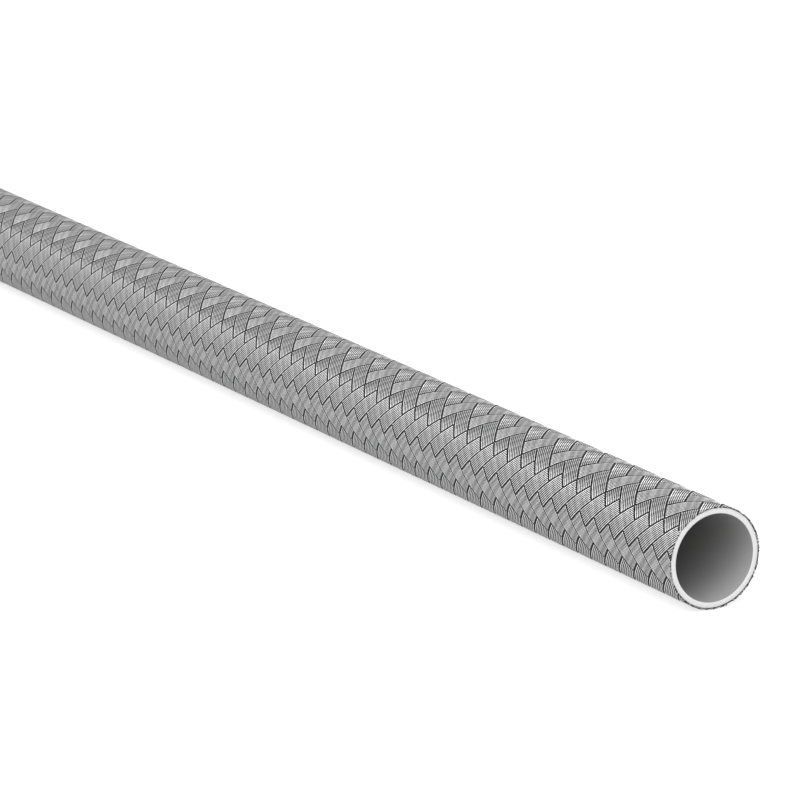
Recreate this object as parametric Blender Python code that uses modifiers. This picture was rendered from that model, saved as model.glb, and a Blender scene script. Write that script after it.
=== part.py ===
"""A length of smooth-bore PTFE hose under one layer of braided stainless steel strands.

The hose lies along X on the plane z = 0, with its cut end at +X towards the viewer.
Lengths are in metres and angles in radians.
"""

import math

import bmesh
import bpy
from mathutils import Vector

# Driving sizes of the hose
HOSE_LENGTH = 0.500
BORE_DIAMETER = 0.0254
LINER_WALL = 0.0016
LINER_EDGE_BREAK = 0.00012

# Driving sizes of the braid
STRAND_THICKNESS = 0.00023
BRAID_CLEARANCE = 0.00015
BRAID_PITCH = 0.00759
GROOVE_FLOOR = 0.00010
GROOVE_SHARE = 0.06
STRANDS_EACH_WAY = 12
FLOAT_CELL_COUNT = 2
CELL_MIDDLE_SHARE = 0.5
END_PHASE = 0.78

# The strip along the top where the braid breaks step, counted in strand widths
# round the hose from the top: there every second right-hand strand swaps over for under
STRIP_FIRST_ROW = -1
STRIP_LAST_ROW = 2

# Facets round the turned surfaces
TURNED_SIDES = 64
CUTTER_OVERRUN = 0.005
WELD_SHARE = 0.01

# Sizes that follow from the ones above
bore_radius = BORE_DIAMETER / 2
liner_radius = bore_radius + LINER_WALL
braid_bore_radius = liner_radius + BRAID_CLEARANCE
braid_radius = braid_bore_radius + 2 * STRAND_THICKNESS
strand_angle = math.pi / STRANDS_EACH_WAY
groove_radius = (braid_bore_radius + GROOVE_FLOOR) / math.cos(strand_angle / 2)
rows_round = 2 * STRANDS_EACH_WAY
repeat_cells = 2 * FLOAT_CELL_COUNT

# The hose rests on the flat tops of the lowest row of strands, so its axis is a little
# nearer the ground than its outer radius
resting_half_angle = strand_angle * (CELL_MIDDLE_SHARE - GROOVE_SHARE)
axis_height = braid_radius * math.cos(resting_half_angle)


def clear_scene():
    for old in list(bpy.data.objects):
        bpy.data.objects.remove(old, do_unlink=True)


def make_collection(name):
    collection = bpy.data.collections.new(name)
    bpy.context.scene.collection.children.link(collection)
    return collection


def make_material(name, colour, metallic, roughness):
    material = bpy.data.materials.new(name)
    material.use_nodes = True
    shader = material.node_tree.nodes["Principled BSDF"]
    shader.inputs["Base Color"].default_value = (*colour, 1.0)
    shader.inputs["Metallic"].default_value = metallic
    shader.inputs["Roughness"].default_value = roughness
    return material


def add_object(name, mesh, collection, material=None):
    thing = bpy.data.objects.new(name, mesh)
    collection.objects.link(thing)
    if material is not None:
        mesh.materials.append(material)
    return thing


# The liner: a plain extruded tube, turned from its wall section with the edges just broken


def liner_section():
    """Corners of the wall's section as (along, radius), going round from one end's bore."""
    end = HOSE_LENGTH / 2
    edge = LINER_EDGE_BREAK
    return [
        (-end, bore_radius + edge),
        (-end, liner_radius - edge),
        (-end + edge, liner_radius),
        (end - edge, liner_radius),
        (end, liner_radius - edge),
        (end, bore_radius + edge),
        (end - edge, bore_radius),
        (-end + edge, bore_radius),
    ]


def make_liner(collection):
    section = bmesh.new()
    corners = [section.verts.new((along, 0.0, radius)) for along, radius in liner_section()]
    for corner, following in zip(corners, corners[1:] + corners[:1]):
        section.edges.new((corner, following))
    mesh = bpy.data.meshes.new("ptfe_liner")
    section.to_mesh(mesh)
    section.free()
    white = make_material("ptfe", (0.86, 0.86, 0.85), 0.0, 0.35)
    liner = add_object("ptfe_liner", mesh, collection, white)
    liner.location.z = axis_height
    turn = liner.modifiers.new("turn", "SCREW")
    turn.axis = "X"
    turn.angle = 2 * math.pi
    turn.steps = TURNED_SIDES
    turn.render_steps = TURNED_SIDES
    turn.use_merge_vertices = True
    turn.merge_threshold = WELD_SHARE * LINER_EDGE_BREAK
    turn.use_normal_calculate = True
    return liner


# The braid: strands cross in a diamond lattice. A left-hand strand keeps the number
# `left` and a right-hand strand the number `right`. Both count strand widths from the
# cut end, so their sum gives the place along the hose and their difference the angle.


def braid_point(left, right, radius):
    """The point at lattice numbers left and right, as a vector from the hose's middle."""
    along = (left + right) / 2 * BRAID_PITCH
    angle = strand_angle * (left - right)
    x = HOSE_LENGTH / 2 - along
    return Vector((x, radius * math.sin(angle), radius * math.cos(angle)))


def row_of(left, right):
    """The row of crossings along the hose, numbered from the top and round both ways."""
    first_row = 1 - STRANDS_EACH_WAY
    return (right - left - first_row) % rows_round + first_row


def left_strand_is_over(left, right):
    """Two over and two under, so that the floats lie side by side in rows along the hose."""
    row = row_of(left, right)
    over = row % repeat_cells < FLOAT_CELL_COUNT
    in_strip = STRIP_FIRST_ROW <= row <= STRIP_LAST_ROW
    if in_strip and right % 2 == 1:
        return not over
    return over


def floats_of(strand, left_hand, cells):
    """Runs of cells along one strand where it lies on top, as (first cell, length)."""
    runs = []
    length = 0
    for cell in cells:
        if left_hand:
            on_top = left_strand_is_over(strand, cell)
        else:
            on_top = not left_strand_is_over(cell, strand)
        if on_top:
            length += 1
        elif length > 0:
            runs.append((cell - length, length))
            length = 0
    if length > 0:
        runs.append((cells[-1] + 1 - length, length))
    return runs


class WovenSkin:
    """The braid's outer surface: every float is a crowned pad between shared grooves."""

    def __init__(self):
        self.shape = bmesh.new()
        self.corners = {}

    def lattice_corner(self, left, right):
        """The groove point at a crossing, shared by the four cells that meet there."""
        key = (left + right, (left - right) % rows_round)
        if key not in self.corners:
            spot = braid_point(left + END_PHASE, right + END_PHASE, groove_radius)
            self.corners[key] = self.shape.verts.new(spot)
        return self.corners[key]

    def crown_point(self, left, right):
        spot = braid_point(left + END_PHASE, right + END_PHASE, braid_radius)
        return self.shape.verts.new(spot)

    def add_float(self, strand, left_hand, first, length):
        """One float: it rises from each end to flat crowns, with a groove on both sides."""
        sides = []
        for across, inset in ((0, GROOVE_SHARE), (1, 1 - GROOVE_SHARE)):
            groove = []
            for step in range(length + 1):
                numbers = (strand + across, first + step)
                groove.append(self.lattice_corner(*(numbers if left_hand else numbers[::-1])))
            crown = []
            for step in range(length):
                numbers = (strand + inset, first + step + CELL_MIDDLE_SHARE)
                crown.append(self.crown_point(*(numbers if left_hand else numbers[::-1])))
            sides.append((groove, crown))
        (groove_a, crown_a), (groove_b, crown_b) = sides
        add_face = self.shape.faces.new
        add_face((groove_a[0], groove_b[0], crown_b[0], crown_a[0]))
        for step in range(length - 1):
            add_face((crown_a[step], crown_b[step], crown_b[step + 1], crown_a[step + 1]))
        add_face((crown_a[-1], crown_b[-1], groove_b[-1], groove_a[-1]))
        for groove, crown in sides:
            for step in range(length):
                add_face((groove[step], crown[step], groove[step + 1]))
            for step in range(length - 1):
                add_face((crown[step], crown[step + 1], groove[step + 1]))

    def cut_and_close(self):
        """Cuts the skin square at both ends of the hose and closes it into a solid bar."""
        shape = self.shape
        for side in (-1, 1):
            bmesh.ops.bisect_plane(
                shape,
                geom=shape.verts[:] + shape.edges[:] + shape.faces[:],
                plane_co=(side * HOSE_LENGTH / 2, 0, 0),
                plane_no=(side, 0, 0),
                clear_outer=True,
            )
        rims = [edge for edge in shape.edges if edge.is_boundary]
        bmesh.ops.holes_fill(shape, edges=rims, sides=0)
        bmesh.ops.triangulate(shape, faces=[face for face in shape.faces if len(face.verts) == 4])
        bmesh.ops.recalc_face_normals(shape, faces=shape.faces[:])


def make_bore_cutter(collection):
    bpy.ops.mesh.primitive_cylinder_add(
        vertices=TURNED_SIDES,
        radius=braid_bore_radius,
        depth=HOSE_LENGTH + 2 * CUTTER_OVERRUN,
        location=(0, 0, axis_height),
        rotation=(0, math.pi / 2, 0),
    )
    cutter = bpy.context.object
    cutter.name = "braid_bore_cutter"
    for holder in list(cutter.users_collection):
        holder.objects.unlink(cutter)
    collection.objects.link(cutter)
    cutter.hide_render = True
    cutter.display_type = "WIRE"
    return cutter


def make_braid(collection, cutter):
    skin = WovenSkin()
    first_ring = -repeat_cells
    last_ring = math.ceil(2 * HOSE_LENGTH / BRAID_PITCH) + repeat_cells
    for strand in range(STRANDS_EACH_WAY):
        cells = range(first_ring - strand, last_ring - strand + 1)
        for left_hand in (True, False):
            for first, length in floats_of(strand, left_hand, cells):
                skin.add_float(strand, left_hand, first, length)
    skin.cut_and_close()
    mesh = bpy.data.meshes.new("steel_braid")
    skin.shape.to_mesh(mesh)
    skin.shape.free()
    steel = make_material("stainless_wire", (0.56, 0.57, 0.58), 1.0, 0.38)
    braid = add_object("steel_braid", mesh, collection, steel)
    braid.location.z = axis_height
    bore = braid.modifiers.new("bore", "BOOLEAN")
    bore.operation = "DIFFERENCE"
    bore.solver = "EXACT"
    bore.object = cutter
    return braid


def build():
    clear_scene()
    hose = make_collection("ptfe_hose")
    cutters = make_collection("cutters")
    make_liner(hose)
    make_braid(hose, make_bore_cutter(cutters))
    bpy.context.view_layer.update()


build()
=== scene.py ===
# %% [markdown]
# # A length of PTFE hose under a stainless steel braid
#
# The real hose is a plain white PTFE tube with one layer of braid round it. A braiding
# machine carries 24 spools round the tube, 12 each way, and each spool lays down one flat
# strand of parallel steel wires. The strands pass over and under each other, and that
# weave is nearly all that one sees of the hose. So this lesson spends its effort there:
# each of the 192 wires is a real, bent wire, and the pattern in which they go over and
# under comes from a rule and not from a picture.
#
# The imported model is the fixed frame. It gives the length and the place of the hose, and
# the pieces made here stand where its two solids are.

# %% Load the frame
import math

import bmesh
import bpy
from mathutils import Matrix, Vector


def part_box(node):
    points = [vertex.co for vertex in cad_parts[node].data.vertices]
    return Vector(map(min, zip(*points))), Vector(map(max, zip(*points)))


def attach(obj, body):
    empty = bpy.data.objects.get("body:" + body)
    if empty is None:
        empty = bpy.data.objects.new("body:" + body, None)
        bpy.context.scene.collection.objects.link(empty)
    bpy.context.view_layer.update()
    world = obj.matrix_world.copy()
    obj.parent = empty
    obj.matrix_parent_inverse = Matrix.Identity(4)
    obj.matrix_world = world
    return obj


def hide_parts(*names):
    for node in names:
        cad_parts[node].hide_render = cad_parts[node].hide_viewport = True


def add_object(name, data):
    thing = bpy.data.objects.new(name, data)
    bpy.context.scene.collection.objects.link(thing)
    return thing


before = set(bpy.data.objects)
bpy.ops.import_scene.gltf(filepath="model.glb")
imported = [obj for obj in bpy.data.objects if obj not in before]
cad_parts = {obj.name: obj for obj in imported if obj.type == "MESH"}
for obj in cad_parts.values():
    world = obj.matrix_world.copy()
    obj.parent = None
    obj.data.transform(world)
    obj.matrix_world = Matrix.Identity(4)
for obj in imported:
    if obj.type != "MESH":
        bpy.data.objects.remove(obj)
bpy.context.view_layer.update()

# %% [markdown]
# ## Sizes
#
# What the frame already knows is read from it: the liner's box gives the length, the
# outside of the tube and the height of its axis. What only shows on a close look, such as
# the wires, is given here. All lengths are in metres.
#
# The braid's pitch is how far along the hose one row of cells repeats. The phase says how
# far inside the cut end the top row's first corner lies, as a share of the pitch.

# %% Sizes of the hose and its wires
liner_low, liner_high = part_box("ptfe_liner")
half_length = (liner_high.x - liner_low.x) / 2
liner_radius = (liner_high.z - liner_low.z) / 2
axis_height = (liner_high.z + liner_low.z) / 2

BORE_DIAMETER = 0.0254
BRAID_PITCH = 0.00759
END_PHASE = 0.78
STRANDS_EACH_WAY = 12
WIRES_IN_STRAND = 8
WIRE_THICKNESS = 0.00025
WIRE_SIDES = 6

bore_radius = BORE_DIAMETER / 2
strand_width = BRAID_PITCH / math.sqrt(2)
print(f"Liner {2000 * liner_radius:.1f} mm outside, axis {1000 * axis_height:.2f} mm up")
print(f"A strand is {1000 * strand_width:.2f} mm wide, with {WIRES_IN_STRAND} wires")

# %% [markdown]
# ## The camera
#
# The photograph is a picture from far away with a long lens, so the hose hardly tapers.
# A camera is fixed by its lens, by how far it is turned round the hose and raised above
# it, by where the centre of the cut end falls in the picture, and by how many tube radii
# away that end is.

# %% Camera
PHOTO_SIDE = 800
FOCAL_PIXELS = 5343.12
NEAR_END_PIXEL = (714.64, 558.09)
NEAR_END_DISTANCE_IN_RADII = 103.0942
CAMERA_AZIMUTH = math.radians(60)
CAMERA_ELEVATION = math.radians(15)
SENSOR_WIDTH_MM = 36


def make_camera():
    flat = math.cos(CAMERA_ELEVATION)
    back = Vector((
        math.sin(CAMERA_AZIMUTH) * flat,
        -math.cos(CAMERA_AZIMUTH) * flat,
        math.sin(CAMERA_ELEVATION),
    ))
    right = Vector((math.cos(CAMERA_AZIMUTH), math.sin(CAMERA_AZIMUTH), 0))
    up = back.cross(right)
    distance = NEAR_END_DISTANCE_IN_RADII * liner_radius
    across = (NEAR_END_PIXEL[0] - PHOTO_SIDE / 2) / FOCAL_PIXELS * distance
    down = (NEAR_END_PIXEL[1] - PHOTO_SIDE / 2) / FOCAL_PIXELS * distance
    near_end = Vector((half_length, 0, axis_height))
    data = bpy.data.cameras.new("camera")
    data.sensor_width = SENSOR_WIDTH_MM
    data.lens = SENSOR_WIDTH_MM * FOCAL_PIXELS / PHOTO_SIDE
    camera = add_object("camera", data)
    place = near_end - across * right + down * up + distance * back
    camera.matrix_world = (
        Matrix.Translation(place) @ Matrix((right, up, back)).transposed().to_4x4()
    )
    bpy.context.scene.camera = camera
    return camera


camera = make_camera()
print(f"Lens {camera.data.lens:.0f} mm, {camera.location.length:.2f} m from the hose's middle")

# %% [markdown]
# ## A short way to write node trees
#
# Geometry Nodes and materials are both trees of nodes. In a script a long tree is hard to
# read if each node and each link takes a line, so a small class hides that. `add` makes a
# node and fills its sockets, and a value that is itself a socket is linked instead. The
# arithmetic nodes get a method of their own, because a braid is mostly arithmetic, and so
# do the few other nodes that come up again and again.


# %% Helper for trees
class Tree:
    """A node tree that is written as expressions."""

    def __init__(self, tree):
        self.tree = tree

    def add(self, kind, inputs=(), **settings):
        node = self.tree.nodes.new(kind)
        for name, value in settings.items():
            setattr(node, name, value)
        for socket, value in dict(inputs).items():
            self.put(node.inputs[socket], value)
        return node

    def put(self, socket, value):
        if isinstance(value, bpy.types.NodeSocket):
            self.tree.links.new(value, socket)
        else:
            socket.default_value = value

    def maths(self, operation, *values):
        node = self.add("ShaderNodeMath", operation=operation)
        for socket, value in zip(node.inputs, values):
            self.put(socket, value)
        return node.outputs[0]

    def plus(self, a, b):
        return self.maths("ADD", a, b)

    def minus(self, a, b):
        return self.maths("SUBTRACT", a, b)

    def times(self, a, b):
        return self.maths("MULTIPLY", a, b)

    def over(self, a, b):
        return self.maths("DIVIDE", a, b)

    def vector(self, x, y, z):
        return self.add("ShaderNodeCombineXYZ", {"X": x, "Y": y, "Z": z}).outputs[0]

    def part_of(self, vector):
        return self.add("ShaderNodeSeparateXYZ", {"Vector": vector}).outputs

    def noise(self, place, detail):
        inputs = {"Vector": place, "Scale": 1.0, "Detail": detail}
        return self.add("ShaderNodeTexNoise", inputs).outputs[0]

    def mix(self, share, first, second):
        """From the first colour to the second; they are the node's sockets 6 and 7."""
        inputs = {"Factor": share, 6: first, 7: second}
        return self.add("ShaderNodeMix", inputs, data_type="RGBA").outputs[2]

    def bump(self, height, strength, distance):
        inputs = {"Height": height, "Strength": strength, "Distance": distance}
        return self.add("ShaderNodeBump", inputs).outputs[0]

    def capture(self, geometry, fields):
        """Keeps fields, each as (name, type, field), and gives them and the geometry."""
        node = self.add("GeometryNodeCaptureAttribute", {"Geometry": geometry})
        for name, kind, field in fields:
            node.capture_items.new(kind, name)
        for name, kind, field in fields:
            self.put(node.inputs[name], field)
        return node.outputs

    def sockets(self, inputs, outputs):
        """Names the tree's own inputs and outputs, each as (name, type, default)."""
        for way, rows in (("INPUT", inputs), ("OUTPUT", outputs)):
            for name, kind, default in rows:
                made = self.tree.interface.new_socket(
                    name=name, in_out=way, socket_type="NodeSocket" + kind
                )
                if default is not None:
                    made.default_value = default
        self.inlet = self.tree.nodes.new("NodeGroupInput").outputs
        self.outlet = self.tree.nodes.new("NodeGroupOutput").inputs


def new_geometry_tree(name):
    return Tree(bpy.data.node_groups.new(name, "GeometryNodeTree"))


def new_shader_group(name):
    return Tree(bpy.data.node_groups.new(name, "ShaderNodeTree"))


def new_material(name):
    """A material, its tree, and the sockets of the shader that it keeps."""
    material = bpy.data.materials.new(name)
    material.use_nodes = True
    nodes = Tree(material.node_tree)
    return material, nodes, material.node_tree.nodes["Principled BSDF"].inputs


print("Tree helper ready")

# %% [markdown]
# ## Which strand lies on top
#
# Number the strands of each hand. A left-hand strand keeps the number `left` all the way
# along the hose and a right-hand strand keeps `right`, both counted in strand widths from
# the cut end. Where they cross there is one square cell, and the difference of the two
# numbers says which row of cells it is in, going round the hose. Over two and under two
# makes the rows alternate in pairs, so the floats stack up into the arrows that give
# braided hose its look. Along the top of this hose four rows break step: every second
# right-hand strand swaps over for under there, and the arrows turn into a zigzag.
#
# The rule is a node group of its own, because the tree that bends the wires asks it for
# every point.


# %% The weave's rule
FIRST_ROW = 1 - STRANDS_EACH_WAY
PAST_LAST_ROW = STRANDS_EACH_WAY + 1
REPEAT_ROWS = 4
STRIP_ROWS = (-1, 2)
HALF = 0.5


def make_weave_rule():
    """Left Over is 1 where the left-hand strand is on top of the right-hand one."""
    rule = new_geometry_tree("weave_rule")
    rule.sockets(
        [("Left Strand", "Float", 0.0), ("Right Strand", "Float", 0.0)],
        [("Left Over", "Float", None)],
    )
    step = rule.minus(rule.inlet["Right Strand"], rule.inlet["Left Strand"])
    row = rule.maths("WRAP", rule.plus(step, HALF), PAST_LAST_ROW, FIRST_ROW)
    in_repeat = rule.maths("FLOORED_MODULO", row, REPEAT_ROWS)
    regular = rule.maths("LESS_THAN", in_repeat, REPEAT_ROWS / 2)
    after_strip_start = rule.maths("GREATER_THAN", row, STRIP_ROWS[0])
    before_strip_end = rule.maths("LESS_THAN", row, STRIP_ROWS[1] + 1)
    parity = rule.maths("FLOORED_MODULO", rule.inlet["Right Strand"], 2)
    is_odd = rule.maths("GREATER_THAN", parity, HALF)
    swaps = rule.times(rule.times(after_strip_start, before_strip_end), is_odd)
    rule.put(rule.outlet["Left Over"], rule.maths("ABSOLUTE", rule.minus(regular, swaps)))
    return rule.tree


weave_rule = make_weave_rule()
print("Weave rule:", len(weave_rule.nodes), "nodes")

# %% [markdown]
# ## Where every wire runs
#
# A wire is a line of points. Three points to a cell are enough: one just after the
# crossing strand's edge, one in the middle and one just before the next edge. Between two
# cells the wire either runs on at its level or dives under its neighbour, and as the two
# points there are close together the dive is as sudden as on the real braid.
#
# Each function below takes the tree and adds its share of nodes. They work on numbers
# only, and the same nodes do all the points of a strand at once.

# %% Places of the wires' points
POINTS_IN_CELL = 3
SPARE_CELLS = 2
TIPS = 2
DIVE_SHARE = 0.10
STRAND_GAP = 0.022
WIRE_FILL = 0.74
LINER_CLEARANCE = 0.00001
LEVEL_LIFT = 0.000127
STRAND_CROWN = 0.00001
SHORTEST_STEP = 0.1
WANDER = 0.004
WANDER_PER_CELL = 0.35
LANE_NOISE_STEP = 7.3
EDGE_LEAN = 0.15

inner_level_radius = liner_radius + WIRE_THICKNESS / 2 + LINER_CLEARANCE
weave_radius = inner_level_radius + LEVEL_LIFT
crown_radius = weave_radius + LEVEL_LIFT + WIRE_THICKNESS / 2
wire_width = WIRE_FILL * strand_width * (1 - 2 * STRAND_GAP) / WIRES_IN_STRAND
cell_length = BRAID_PITCH / 2
cells_along = 2 * half_length / cell_length
points_in_wire = POINTS_IN_CELL * (math.ceil(cells_along) + SPARE_CELLS) + TIPS


def wire_points(tree):
    """Each point as numbers.

    They are the wire it belongs to, its step along that wire, the wire's share of the
    strand's width, its lane and its distance along in strand widths, the cell whose level
    it takes, and whether it is left out.
    """
    index = tree.add("GeometryNodeInputIndex").outputs[0]
    wire = tree.maths("FLOOR", tree.over(index, points_in_wire))
    step = tree.minus(index, tree.times(wire, points_in_wire))
    across_share = tree.over(tree.plus(wire, HALF), WIRES_IN_STRAND)
    across = tree.plus(STRAND_GAP, tree.times(across_share, 1 - 2 * STRAND_GAP))
    lane = tree.plus(tree.inlet["Strand"], across)
    first = tree.minus(-2 * END_PHASE, lane)
    last = tree.plus(first, cells_along)
    inner_step = tree.minus(step, 1)
    cell_step = tree.maths("FLOOR", tree.over(inner_step, POINTS_IN_CELL))
    place = tree.minus(inner_step, tree.times(cell_step, POINTS_IN_CELL))
    inside = tree.plus(DIVE_SHARE, tree.times(place, HALF - DIVE_SHARE))
    along = tree.plus(tree.plus(tree.maths("FLOOR", first), cell_step), inside)
    too_early = tree.maths("LESS_THAN", along, tree.plus(first, SHORTEST_STEP))
    too_late = tree.maths("GREATER_THAN", along, tree.minus(last, SHORTEST_STEP))
    is_start = tree.maths("LESS_THAN", step, HALF)
    is_end = tree.maths("GREATER_THAN", step, points_in_wire - 1 - HALF)
    is_tip = tree.plus(is_start, is_end)
    outside = tree.times(tree.maths("MAXIMUM", too_early, too_late), tree.minus(1, is_tip))
    clamped = tree.maths("MINIMUM", tree.maths("MAXIMUM", along, first), last)
    tip = tree.plus(tree.times(is_start, first), tree.times(is_end, last))
    along = tree.plus(tip, tree.times(tree.minus(1, is_tip), clamped))

    # A tip takes the level of the point next to it, so that no wire ends in a dive
    tip_room = SHORTEST_STEP + DIVE_SHARE
    inner = tree.maths("MAXIMUM", along, tree.plus(first, tip_room))
    cell = tree.maths("FLOOR", tree.maths("MINIMUM", inner, tree.minus(last, tip_room)))
    return wire, step, across_share, lane, along, cell, outside


def level_in_weave(tree, cell, left_handed):
    """1 where this strand lies on top, and -1 where it lies under the other one."""
    strand = tree.inlet["Strand"]
    right_handed = tree.minus(1, left_handed)
    left = tree.plus(tree.times(left_handed, strand), tree.times(right_handed, cell))
    right = tree.plus(tree.times(right_handed, strand), tree.times(left_handed, cell))
    strands_here = {"Left Strand": left, "Right Strand": right}
    rule = tree.add("GeometryNodeGroup", strands_here, node_tree=weave_rule)
    return tree.times(tree.minus(tree.times(rule.outputs[0], 2), 1), tree.inlet["Hand"])


def wandering_lane(tree, lane, along):
    """A drawn wire is never dead straight: it wanders a little beside its neighbours."""
    place = tree.vector(
        tree.times(along, WANDER_PER_CELL),
        tree.times(lane, LANE_NOISE_STEP),
        tree.inlet["Hand"],
    )
    wander = tree.times(tree.minus(tree.noise(place, 1.0), HALF), WANDER)
    return tree.plus(lane, wander)


def spot_on_tube(tree, lane, along, across_share, level):
    """From lattice numbers to a place on the tube, and the way that is outwards there."""
    ahead = tree.plus(tree.times(tree.plus(lane, along), HALF), END_PHASE)
    x = tree.minus(half_length, tree.times(ahead, BRAID_PITCH))
    turn = tree.times(tree.minus(lane, along), math.pi / STRANDS_EACH_WAY)
    angle = tree.times(turn, tree.inlet["Hand"])
    off_middle = tree.minus(tree.times(across_share, 2), 1)
    crown = tree.times(tree.times(off_middle, off_middle), STRAND_CROWN)
    radius = tree.minus(tree.plus(weave_radius, tree.times(level, LEVEL_LIFT)), crown)
    sine = tree.maths("SINE", angle)
    cosine = tree.maths("COSINE", angle)
    y = tree.times(radius, sine)
    z = tree.plus(axis_height, tree.times(radius, cosine))

    # A strand is a little rounded across, so its outer wires lean away from its middle
    lean = tree.times(tree.maths("POWER", off_middle, 3), EDGE_LEAN)
    sideways = tree.times(lean, tree.inlet["Hand"])
    outward = tree.vector(
        tree.times(lean, -1),
        tree.plus(sine, tree.times(sideways, cosine)),
        tree.minus(cosine, tree.times(sideways, sine)),
    )
    return tree.vector(x, y, z), outward


print(f"{points_in_wire} points to a wire, {cells_along:.0f} cells along the hose")

# %% [markdown]
# ## One strand of wires
#
# The points are sorted into curves by the number of their wire, and a flattened profile is
# swept along each curve. Then the ring of corners at each end slides along its wire to
# where the saw went. A saw never leaves braid quite even, so each wire stands out past the
# end of the tube by a share of its own, 0.3 mm at most.
#
# The mesh also keeps what its finish needs: which wire each face belongs to, how far along
# it is, and whether it is a sawn face. The same tree makes all 24 strands. Only the
# strand's number and its hand differ.

# %% The strand tree
RAGGED_ENDS = 0.0003
CUT_FACING = 0.95


def swept_wires(tree, curves):
    """A wire along each curve, its thin way outwards, with its tips and their tangents."""
    width, thickness = tree.inlet["Wire Width"], tree.inlet["Wire Thickness"]
    ring = tree.add("GeometryNodeCurvePrimitiveCircle", {"Resolution": WIRE_SIDES, "Radius": 1.0})
    flat = tree.vector(tree.times(thickness, HALF), tree.times(width, HALF), 1.0)
    profile = tree.add("GeometryNodeTransform", {"Geometry": ring.outputs[0], "Scale": flat})
    kept = tree.capture(
        curves,
        [
            ("Tip", "BOOLEAN", tree.add("GeometryNodeCurveEndpointSelection").outputs[0]),
            ("Tangent", "VECTOR", tree.add("GeometryNodeInputTangent").outputs[0]),
        ],
    )
    swept = tree.add(
        "GeometryNodeCurveToMesh",
        {"Curve": kept["Geometry"], "Profile Curve": profile.outputs[0], "Fill Caps": True},
    )
    return swept.outputs[0], kept["Tip"], kept["Tangent"]


def sawn_wires(tree, wires, wire, left_handed, tip, tangent):
    """Slides the end rings along their wires to where the saw cut them.

    The random node's sockets 2 and 3 are its lowest and highest number.
    """
    here = tree.part_of(tree.add("GeometryNodeInputPosition").outputs[0])["X"]
    way = tree.part_of(tangent)["X"]
    seed = tree.plus(tree.inlet["Strand"], tree.times(left_handed, STRANDS_EACH_WAY))
    ragged = tree.add(
        "FunctionNodeRandomValue",
        {2: 0.0, 3: RAGGED_ENDS, "ID": wire, "Seed": seed},
        data_type="FLOAT",
    ).outputs[1]
    plane = tree.times(tree.maths("SIGN", here), tree.plus(half_length, ragged))
    reach = tree.over(tree.minus(plane, here), way)
    slide = tree.add(
        "ShaderNodeVectorMath", {"Vector": tangent, "Scale": reach}, operation="SCALE"
    )
    cut = tree.add(
        "GeometryNodeSetPosition",
        {"Geometry": wires, "Selection": tip, "Offset": slide.outputs[0]},
    )
    return cut.outputs[0]


def labelled_wires(tree, wires, wire, along):
    """Keeps the finish's numbers on the mesh, and leaves only the sawn faces flat."""
    facing = tree.part_of(tree.add("GeometryNodeInputNormal").outputs[0])["X"]
    is_cut = tree.maths("GREATER_THAN", tree.maths("ABSOLUTE", facing), CUT_FACING)
    for title, field, domain in (
        ("wire", wire, "POINT"),
        ("along", along, "POINT"),
        ("cut", is_cut, "FACE"),
    ):
        store = tree.add(
            "GeometryNodeStoreNamedAttribute",
            {"Geometry": wires, "Name": title, "Value": field},
            domain=domain,
        )
        wires = store.outputs[0]
    smooth = tree.add(
        "GeometryNodeSetShadeSmooth",
        {"Geometry": wires, "Shade Smooth": tree.minus(1, is_cut)},
    )
    return smooth.outputs[0]


def make_strand_tree():
    tree = new_geometry_tree("braid_strand")
    tree.sockets(
        [
            ("Geometry", "Geometry", None),
            ("Strand", "Float", 0.0),
            ("Hand", "Float", 1.0),
            ("Wire Width", "Float", wire_width),
            ("Wire Thickness", "Float", WIRE_THICKNESS),
            ("Material", "Material", None),
        ],
        [("Geometry", "Geometry", None)],
    )
    wire, step, across_share, lane, along, cell, outside = wire_points(tree)
    left_handed = tree.times(tree.plus(tree.inlet["Hand"], 1), HALF)
    level = level_in_weave(tree, cell, left_handed)
    lane = wandering_lane(tree, lane, along)
    spot, outward = spot_on_tube(tree, lane, along, across_share, level)

    count = WIRES_IN_STRAND * points_in_wire
    points = tree.add("GeometryNodePoints", {"Count": count, "Position": spot})
    kept = tree.capture(
        points.outputs[0],
        [
            ("Outward", "VECTOR", outward),
            ("Wire", "FLOAT", wire),
            ("Step", "FLOAT", step),
            ("Along", "FLOAT", along),
        ],
    )
    used = tree.add(
        "GeometryNodeDeleteGeometry", {"Geometry": kept["Geometry"], "Selection": outside}
    )
    curves = tree.add(
        "GeometryNodePointsToCurves",
        {"Points": used.outputs[0], "Curve Group ID": kept["Wire"], "Weight": kept["Step"]},
    )
    framed = tree.add(
        "GeometryNodeSetCurveNormal",
        {"Curve": curves.outputs[0], "Normal": kept["Outward"]},
        mode="FREE",
    )
    wires, tip, tangent = swept_wires(tree, framed.outputs[0])
    wires = sawn_wires(tree, wires, kept["Wire"], left_handed, tip, tangent)
    wires = labelled_wires(tree, wires, kept["Wire"], kept["Along"])
    real = tree.add("GeometryNodeRealizeInstances", {"Geometry": wires})
    finish = tree.add(
        "GeometryNodeSetMaterial",
        {"Geometry": real.outputs[0], "Material": tree.inlet["Material"]},
    )
    tree.put(tree.outlet["Geometry"], finish.outputs[0])
    return tree.tree


strand_tree = make_strand_tree()
print(f"Strand tree: {len(strand_tree.nodes)} nodes")
print(f"Wires {1000 * wire_width:.2f} by {1000 * WIRE_THICKNESS:.2f} mm")
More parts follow.
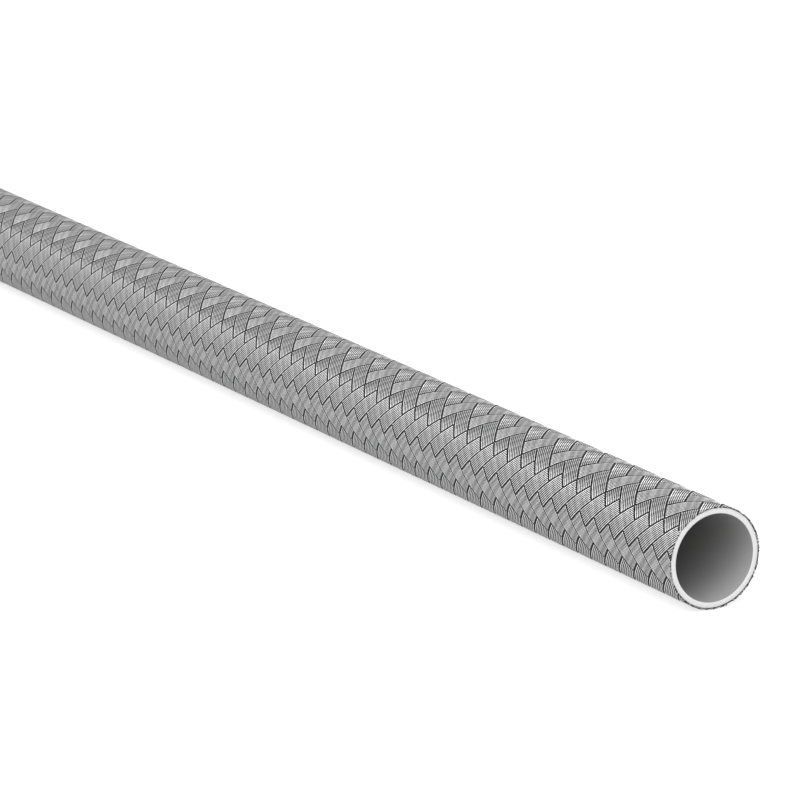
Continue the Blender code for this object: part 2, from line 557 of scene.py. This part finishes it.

# %% [markdown]
# ## How far from the axis
#
# Both finishes depend on the distance from the hose's axis: painted shade darkens the steel low
# between the wires, and painted shade greys the wall of the bore but not the cut face. So that
# distance is a shader group that both materials use. It rises smoothly from 0 to 1 between two
# radii.


# %% Shader group for the distance from the axis
def make_radius_mask():
    group = new_shader_group("radius_mask")
    group.sockets(
        [("From Radius", "Float", bore_radius), ("To Radius", "Float", liner_radius)],
        [("Mask", "Float", None)],
    )
    here = group.part_of(group.add("ShaderNodeTexCoord").outputs["Object"])
    above_axis = group.minus(here["Z"], axis_height)
    squares = group.plus(
        group.times(here["Y"], here["Y"]), group.times(above_axis, above_axis)
    )
    rise = group.add(
        "ShaderNodeMapRange",
        {
            "Value": group.maths("SQRT", squares),
            "From Min": group.inlet["From Radius"],
            "From Max": group.inlet["To Radius"],
        },
        interpolation_type="SMOOTHSTEP",
    )
    group.put(group.outlet["Mask"], rise.outputs["Result"])
    return group.tree


radius_mask = make_radius_mask()
print("Radius mask:", len(radius_mask.nodes), "nodes")

# %% [markdown]
# ## Drawn wire
#
# Drawn wire is bright but never a mirror, and no two wires are quite alike. One shader
# group says how. It reads the numbers that the strand tree left on the mesh, so each wire
# has a tone of its own, and slow patches of tone follow it however it bends. The same tone
# sets how rough the wire is, and a fine grain gives the height. The group gives only
# values that vary, and the material keeps the shader.

# %% Shader group for drawn wire
PATCH_SHARE = 0.6
OWN_SHARE = 0.4
PATCHES_PER_CELL = 0.3
WIRE_NOISE_STEP = 3.7
ROUGHNESS_SPREAD = 0.05
GRAIN_PER_METRE = 9000


def make_drawn_wire_group():
    """Gives colour, roughness, height, the outer wires, and each wire's own number."""
    group = new_shader_group("drawn_wire")
    group.sockets(
        [
            ("Dull", "Color", None),
            ("Bright", "Color", None),
            ("Roughness", "Float", None),
            ("Roughness Spread", "Float", ROUGHNESS_SPREAD),
            ("Patches Per Cell", "Float", PATCHES_PER_CELL),
        ],
        [
            ("Color", "Color", None),
            ("Roughness", "Float", None),
            ("Height", "Float", None),
            ("Edge", "Float", None),
            ("Own", "Float", None),
        ],
    )
    given, result = group.inlet, group.outlet
    wire = group.add("ShaderNodeAttribute", attribute_name="wire").outputs["Fac"]
    along = group.add("ShaderNodeAttribute", attribute_name="along").outputs["Fac"]
    off_middle = group.maths("ABSOLUTE", group.minus(wire, (WIRES_IN_STRAND - 1) / 2))
    is_edge = group.maths("GREATER_THAN", off_middle, WIRES_IN_STRAND / 2 - 1)
    group.put(result["Edge"], is_edge)

    place = group.vector(
        group.times(along, given["Patches Per Cell"]), group.times(wire, WIRE_NOISE_STEP), 0.0
    )
    patches = group.noise(place, 2.0)
    own = group.add("ShaderNodeTexWhiteNoise", {"W": wire}, noise_dimensions="1D")
    group.put(result["Own"], own.outputs["Value"])
    tone = group.plus(
        group.times(patches, PATCH_SHARE), group.times(own.outputs["Value"], OWN_SHARE)
    )
    group.put(result["Color"], group.mix(tone, given["Dull"], given["Bright"]))
    swing = group.times(group.minus(tone, HALF), given["Roughness Spread"])
    group.put(result["Roughness"], group.plus(given["Roughness"], swing))

    grain_place = group.add(
        "ShaderNodeVectorMath",
        {0: group.add("ShaderNodeTexCoord").outputs["Object"], 1: 3 * (GRAIN_PER_METRE,)},
        operation="MULTIPLY",
    )
    group.put(result["Height"], group.noise(grain_place.outputs[0], 2.0))
    return group.tree


drawn_wire = make_drawn_wire_group()
print("Drawn wire:", len(drawn_wire.nodes), "nodes")

# %% [markdown]
# ## The braid's steel
#
# The steel is plain metal, and four things were set to match the photograph. Low between the
# wires its colour is painted nearly black, a painted shade for where no light gets in. The two
# outer wires of each strand are painted brighter, a painted highlight that draws a light line
# along the strand's edge. The sawn faces run from dark to bright, one tone to a wire. And the
# colour that the metal takes at a grazing view is held back, or else the braid's outline fades
# into the white ground.

# %% Braid material
# Painted shade: a nearly black colour low between the wires, where little light gets in
VALLEY_PAINTED_SHADE = (0.03, 0.03, 0.03, 1)
DULL_STEEL = (0.65, 0.65, 0.65, 1)
BRIGHT_STEEL = (0.77, 0.77, 0.775, 1)
# Painted highlight: a brighter colour on each strand's two outer wires, for a light line along
# its edge
OUTER_WIRE_PAINTED_HIGHLIGHT = (0.86, 0.86, 0.86, 1)
CUT_DARK = (0.04, 0.04, 0.04, 1)
CUT_BRIGHT = (0.55, 0.55, 0.55, 1)
GRAZING_STEEL = (0.7, 0.7, 0.7, 1)
STEEL_ROUGHNESS = 0.34
# Between these two depths under the wires' crowns the painted shade fades out
VALLEY_DEPTH = 0.00009
CROWN_DEPTH = 0.00002
GRAIN_STRENGTH = 0.15
GRAIN_HEIGHT = 0.00002


def make_steel():
    material, nodes, shader = new_material("stainless_wire")
    steels = {"Dull": DULL_STEEL, "Bright": BRIGHT_STEEL, "Roughness": STEEL_ROUGHNESS}
    wire = nodes.add("ShaderNodeGroup", steels, node_tree=drawn_wire).outputs
    depths = {
        "From Radius": crown_radius - VALLEY_DEPTH,
        "To Radius": crown_radius - CROWN_DEPTH,
    }
    height = nodes.add("ShaderNodeGroup", depths, node_tree=radius_mask).outputs
    is_cut = nodes.add("ShaderNodeAttribute", attribute_name="cut").outputs["Fac"]
    # The two outer wires of each strand take the painted highlight
    body = nodes.mix(wire["Edge"], wire["Color"], OUTER_WIRE_PAINTED_HIGHLIGHT)
    # Low between the wires the colour fades to the painted shade
    shaded = nodes.mix(height["Mask"], VALLEY_PAINTED_SHADE, body)
    face = nodes.mix(wire["Own"], CUT_DARK, CUT_BRIGHT)
    nodes.put(shader["Base Color"], nodes.mix(is_cut, shaded, face))
    nodes.put(shader["Roughness"], wire["Roughness"])
    nodes.put(shader["Metallic"], 1.0)
    nodes.put(shader["Specular Tint"], GRAZING_STEEL)
    nodes.put(shader["Normal"], nodes.bump(wire["Height"], GRAIN_STRENGTH, GRAIN_HEIGHT))
    return material


steel = make_steel()
print("Steel:", len(steel.node_tree.nodes), "nodes")

# %% [markdown]
# ## The 24 strands
#
# Each strand is an object with the strand tree as its modifier. The tree's result is then
# made a plain mesh, and the modifier goes with the object that carried it.


# %% Make the strands
def socket_of(tree, name):
    """The identifier of a tree's input, which a modifier's values are set by."""
    for item in tree.interface.items_tree:
        if item.name == name and item.in_out == "INPUT":
            return item.identifier


def make_strand(name, number, hand):
    carrier = add_object("carrier", bpy.data.meshes.new("carrier"))
    nodes = carrier.modifiers.new("strand", "NODES")
    nodes.node_group = strand_tree
    nodes[socket_of(strand_tree, "Strand")] = float(number)
    nodes[socket_of(strand_tree, "Hand")] = float(hand)
    nodes[socket_of(strand_tree, "Wire Width")] = wire_width
    nodes[socket_of(strand_tree, "Wire Thickness")] = WIRE_THICKNESS
    nodes[socket_of(strand_tree, "Material")] = steel
    evaluated = carrier.evaluated_get(bpy.context.evaluated_depsgraph_get())
    mesh = bpy.data.meshes.new_from_object(evaluated)
    mesh.name = name
    bpy.data.objects.remove(carrier)
    return add_object(name, mesh)


strands = []
for hand, side in ((1, "left"), (-1, "right")):
    for number in range(STRANDS_EACH_WAY):
        strands.append(make_strand(f"strand_{side}_{number + 1:02d}", number, hand))
triangles = sum(len(face.vertices) - 2 for strand in strands for face in strand.data.polygons)
print(f"{len(strands)} strands, {triangles} triangles in all")

# %% [markdown]
# ## The liner
#
# The liner is extruded in one piece and then cut square with a knife, which leaves a
# flat face and a just-broken edge at the bore and at the outside. A section turned round
# the axis gives the whole tube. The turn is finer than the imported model's, so that the
# rim stays round in a close view.

# %% Make the liner
LINER_SIDES = 192
EDGE_ROUND = 0.00018
EDGE_STEPS = 4


def liner_section():
    """The wall's section as (x, radius), with a small round at each of its corners."""
    corners = [
        (half_length, liner_radius, 1, 1),
        (half_length, bore_radius, 1, -1),
        (-half_length, bore_radius, -1, -1),
        (-half_length, liner_radius, -1, 1),
    ]
    points = []
    for x, radius, end, face in corners:
        arc = []
        for step in range(EDGE_STEPS + 1):
            angle = math.pi / 2 * step / EDGE_STEPS
            arc.append((
                x - end * EDGE_ROUND * (1 - math.sin(angle)),
                radius - face * EDGE_ROUND * (1 - math.cos(angle)),
            ))
        points += arc if end == face else arc[::-1]
    return points


def make_liner():
    shape = bmesh.new()
    rings = []
    for side in range(LINER_SIDES):
        angle = 2 * math.pi * side / LINER_SIDES
        ring = []
        for x, radius in liner_section():
            y, z = radius * math.sin(angle), radius * math.cos(angle)
            ring.append(shape.verts.new((x, y, axis_height + z)))
        rings.append(ring)
    for here, there in zip(rings, rings[1:] + rings[:1]):
        for corner in range(len(here)):
            behind = corner - 1
            shape.faces.new((here[behind], here[corner], there[corner], there[behind]))
    bmesh.ops.recalc_face_normals(shape, faces=shape.faces[:])
    mesh = bpy.data.meshes.new("liner_tube")
    shape.to_mesh(mesh)
    shape.free()
    mesh.shade_smooth()
    return add_object("liner_tube", mesh)


liner = make_liner()
print("Liner:", len(liner.data.polygons), "faces")

# %% [markdown]
# ## The liner's finish
#
# The tube is one white plastic, but its knife-cut face and its bore don't look alike in the
# photograph: the cut is clean and white, and the bore is in shade. The studio alone leaves the
# bore too bright, so the bore is given a darker colour, a painted shade. The radius mask tells
# the two apart, and faint streaks run along the tube as the extruder leaves them.

# %% Liner material
PTFE_SHADE = (0.90, 0.90, 0.90, 1)
PTFE_WHITE = (0.94, 0.94, 0.935, 1)
# Painted shade: a grey colour for the shaded bore, which is the same white plastic as the cut
# face
BORE_PAINTED_SHADE = (0.41, 0.41, 0.41, 1)
PTFE_ROUGHNESS = 0.42
PTFE_SPECULAR = 0.35
STREAKS_PER_METRE = (30, 900, 900)
STREAK_STRENGTH = 0.1
STREAK_HEIGHT = 0.00005
BORE_WALL_DEPTH = 0.00001
CUT_FACE_DEPTH = 0.00008


def make_ptfe():
    material, nodes, shader = new_material("ptfe")
    place = nodes.add(
        "ShaderNodeMapping",
        {
            "Vector": nodes.add("ShaderNodeTexCoord").outputs["Object"],
            "Scale": STREAKS_PER_METRE,
        },
    )
    streaks = nodes.noise(place.outputs[0], 3.0)
    depths = {
        "From Radius": bore_radius + BORE_WALL_DEPTH,
        "To Radius": bore_radius + CUT_FACE_DEPTH,
    }
    wall = nodes.add("ShaderNodeGroup", depths, node_tree=radius_mask).outputs
    white = nodes.mix(streaks, PTFE_SHADE, PTFE_WHITE)
    # The bore wall takes the painted shade, and the cut face and the outside keep their white
    nodes.put(shader["Base Color"], nodes.mix(wall["Mask"], BORE_PAINTED_SHADE, white))
    nodes.put(shader["Roughness"], PTFE_ROUGHNESS)
    nodes.put(shader["Specular IOR Level"], PTFE_SPECULAR)
    nodes.put(shader["Normal"], nodes.bump(streaks, STREAK_STRENGTH, STREAK_HEIGHT))
    return material


ptfe = make_ptfe()
liner.data.materials.append(ptfe)
print("Liner material:", len(ptfe.node_tree.nodes), "nodes")

# %% [markdown]
# ## The studio
#
# The picture has a white surround. The floor is a real, pale surface that takes the
# hose's shadow, and where the camera or a reflection sees it, it also glows, so that it
# reads as white without more light on the hose.
#
# A thin wire mirrors a lamp only when the lamp stands on a cone round that wire, so the two
# hands of wire call for two lamps. The key stands at the left, where the left-hand wires of
# the near flank catch it. The back lamp stands behind, where the right-hand wires on top
# catch it. The fill stands high in front and looks a little way into the bore.

# %% Floor, light and world
WHITE = (1, 1, 1, 1)
FLOOR_SIZE = 12.0
FLOOR_GREY = (0.45, 0.45, 0.45, 1)
FLOOR_ROUGHNESS = 0.9
FLOOR_GLOW = 0.68
WORLD_LEVEL = 0.72

# Each lamp's name, its place, the side of its square and its watts
LAMPS = (
    ("key", (-1.03, -1.14, 0.96), 1.0, 9),
    ("back", (-0.6, 1.35, 1.05), 0.7, 9),
    ("fill", (0.75, -0.8, 1.1), 1.4, 15),
)


def seen_or_mirrored(nodes):
    """1 for a ray that shows a thing: straight to the camera, mirrored or let through."""
    rays = nodes.add("ShaderNodeLightPath").outputs
    seen = nodes.maths("MAXIMUM", rays["Is Camera Ray"], rays["Is Glossy Ray"])
    return nodes.maths("MAXIMUM", seen, rays["Is Transmission Ray"])


def make_floor():
    shape = bmesh.new()
    bmesh.ops.create_grid(shape, x_segments=1, y_segments=1, size=FLOOR_SIZE / 2)
    mesh = bpy.data.meshes.new("floor")
    shape.to_mesh(mesh)
    shape.free()
    floor = add_object("floor", mesh)
    material, nodes, shader = new_material("floor")
    nodes.put(shader["Base Color"], FLOOR_GREY)
    nodes.put(shader["Roughness"], FLOOR_ROUGHNESS)
    nodes.put(shader["Emission Color"], WHITE)
    nodes.put(shader["Emission Strength"], nodes.times(seen_or_mirrored(nodes), FLOOR_GLOW))
    mesh.materials.append(material)


def make_lamp(name, place, side, watts):
    data = bpy.data.lights.new(name, "AREA")
    data.shape = "SQUARE"
    data.size = side
    data.energy = watts
    lamp = add_object(name, data)
    lamp.location = place
    lamp.rotation_mode = "QUATERNION"
    lamp.rotation_quaternion = (-Vector(place)).to_track_quat("-Z", "Y")


def make_world():
    world = bpy.data.worlds.new("studio")
    bpy.context.scene.world = world
    world.use_nodes = True
    nodes = Tree(world.node_tree)
    background = world.node_tree.nodes["Background"].inputs
    more = nodes.times(seen_or_mirrored(nodes), 1 - WORLD_LEVEL)
    nodes.put(background["Strength"], nodes.plus(WORLD_LEVEL, more))
    nodes.put(background["Color"], WHITE)


make_floor()
make_world()
for lamp in LAMPS:
    make_lamp(*lamp)
bpy.context.scene.view_settings.view_transform = "Standard"
print("Studio with", len(LAMPS), "lamps ready")

# %% [markdown]
# ## The pieces on the body
#
# Every piece rides on the hose's one body, and the imported solid that it stands in for is
# hidden.

for strand in strands:
    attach(strand, "root")
    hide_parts("steel_braid")
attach(liner, "root")
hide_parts("ptfe_liner")
